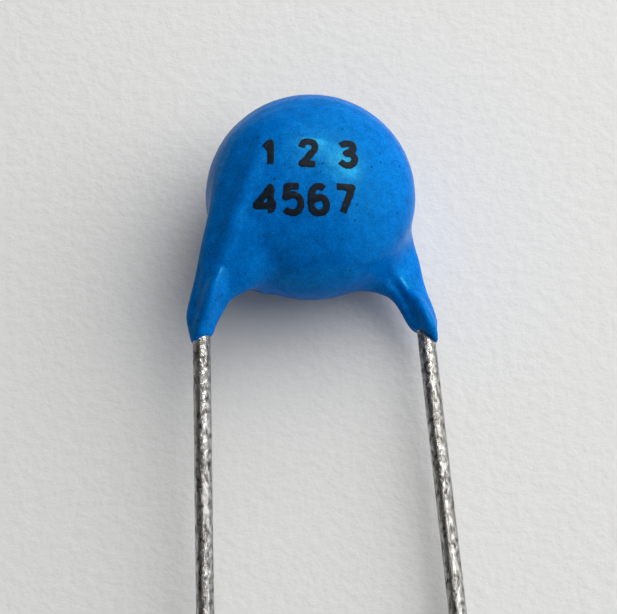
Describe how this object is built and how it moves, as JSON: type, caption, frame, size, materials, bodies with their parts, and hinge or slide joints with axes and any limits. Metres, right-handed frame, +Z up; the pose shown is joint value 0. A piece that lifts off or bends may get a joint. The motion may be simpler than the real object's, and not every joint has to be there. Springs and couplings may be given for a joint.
{
  "type": "ceramic disc capacitor",
  "caption": "Round domed disc capacitor dipped in blue epoxy, whose coat runs down as short legs onto straight tinned wire leads.",
  "frame": {"origin": "centre of the bottom of the part's bounding box, on the surface that it lies on", "axes": "+Z up from that surface; +Y from the tips of the leads towards the disc, level; +X to the right, seen from above with the leads towards the viewer"},
  "size_m": [0.0109, 0.0345, 0.0055],
  "materials": {
    "epoxy": "semi-gloss dipped epoxy with fine specks",
    "ceramic": "fired titanate ceramic, matt",
    "silver": "fired silver, matt",
    "solder": "solder, dull bright",
    "tinned_wire": "tinned wire, mottled",
    "ink": "stamped black ink"
  },
  "bodies": {
    "root": {"epoxy_coat": "epoxy", "ceramic_disc": "ceramic", "electrode_front": "silver", "electrode_back": "silver", "solder_front": "solder", "solder_back": "solder", "lead_front": "tinned_wire", "lead_back": "tinned_wire"}
  },
  "joints": []
}
